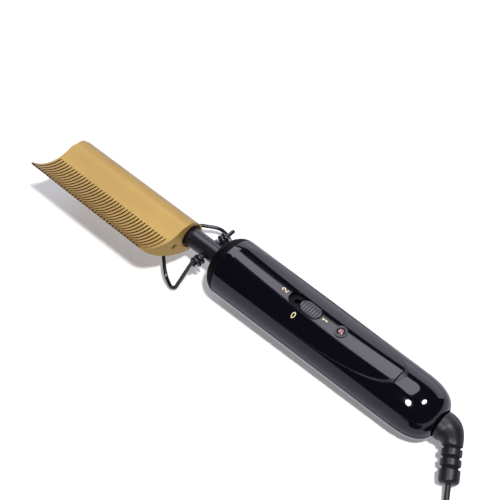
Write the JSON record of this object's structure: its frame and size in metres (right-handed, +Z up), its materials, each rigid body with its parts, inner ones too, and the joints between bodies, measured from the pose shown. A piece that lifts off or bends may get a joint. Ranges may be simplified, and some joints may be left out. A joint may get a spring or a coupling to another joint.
{
  "type": "hot comb",
  "caption": "Electric hot comb at rest on its folding wire stand: metal comb with a round heated spine, round black handle with a slide switch and lamp, swivelling cord with plug",
  "frame": {"origin": "On the table under the middle of the tool's box, measured without its free cord", "axes": "+X runs along the tool from the comb to the cord end, +Y from the teeth to the spine's far side, +Z up from the table"},
  "size_m": [0.337, 0.1275, 0.0488],
  "materials": {
    "comb_metal": "fine matte gold coating",
    "dark_steel": "blued",
    "steel": "plain",
    "ceramic": "unglazed ceramic",
    "lead_sleeve": "woven glass sleeve",
    "black_gloss": "high gloss",
    "neck_paint": "satin black",
    "wire_black": "black coating",
    "knob_black": "satin",
    "lamp_pink": "tinted lens",
    "board_green": "solder mask",
    "capacitor_orange": "dipped",
    "dark_case": "moulded",
    "socket_black": "moulded nylon",
    "contact_brass": "plain",
    "elbow_black": "satin",
    "cord_black": "satin",
    "tie_black": "plain",
    "plug_black": "satin",
    "blade_nickel": "nickel plate"
  },
  "bodies": {
    "handle": {"comb_head": "comb_metal", "comb_screw": "dark_steel", "heater_cartridge": "steel", "heater_bead": "ceramic", "thermal_fuse": "steel", "heater_leads": "lead_sleeve", "neck_collar": "black_gloss", "neck_tube": "neck_paint", "neck_flange": "steel", "pivot_rod": "wire_black", "upper_shell": "black_gloss", "lower_shell": "black_gloss", "shell_screws": "steel", "switch_body": "steel", "lamp_bezel": "black_gloss", "lamp": "lamp_pink", "control_board": "board_green", "board_screws": "steel", "capacitor": "capacitor_orange", "dropper_resistor": "ceramic", "triac": "dark_case", "diodes": "dark_case", "mains_leads": "lead_sleeve", "swivel_socket": "socket_black", "contact_springs": "contact_brass", "cord_lead": "cord_black", "cord_coil": "cord_black", "cord_tail": "cord_black", "cord_tie": "tie_black", "plug_body": "plug_black", "plug_blades": "blade_nickel"},
    "stand": {"wire_stand": "wire_black"},
    "switch": {"switch_knob": "knob_black", "switch_lever": "ceramic"},
    "swivel": {"cord_elbow": "elbow_black", "swivel_pin": "contact_brass"}
  },
  "joints": [
    {"name": "stand_pivot", "type": "hinge", "parent": "handle", "child": "stand", "pos_m": [-0.04099, 0.00537, 0.02327], "axis": [0, -1, 0], "range_deg": [0, 105]},
    {"name": "switch_slide", "type": "slide", "parent": "handle", "child": "switch", "axis": [-0.9993, 0, 0.0361], "range_m": [0, 0.008]},
    {"name": "cord_swivel", "type": "hinge", "parent": "handle", "child": "swivel", "pos_m": [0.10891, 0.00537, 0.01785], "axis": [0.9993, 0, -0.0361], "continuous": true}
  ]
}
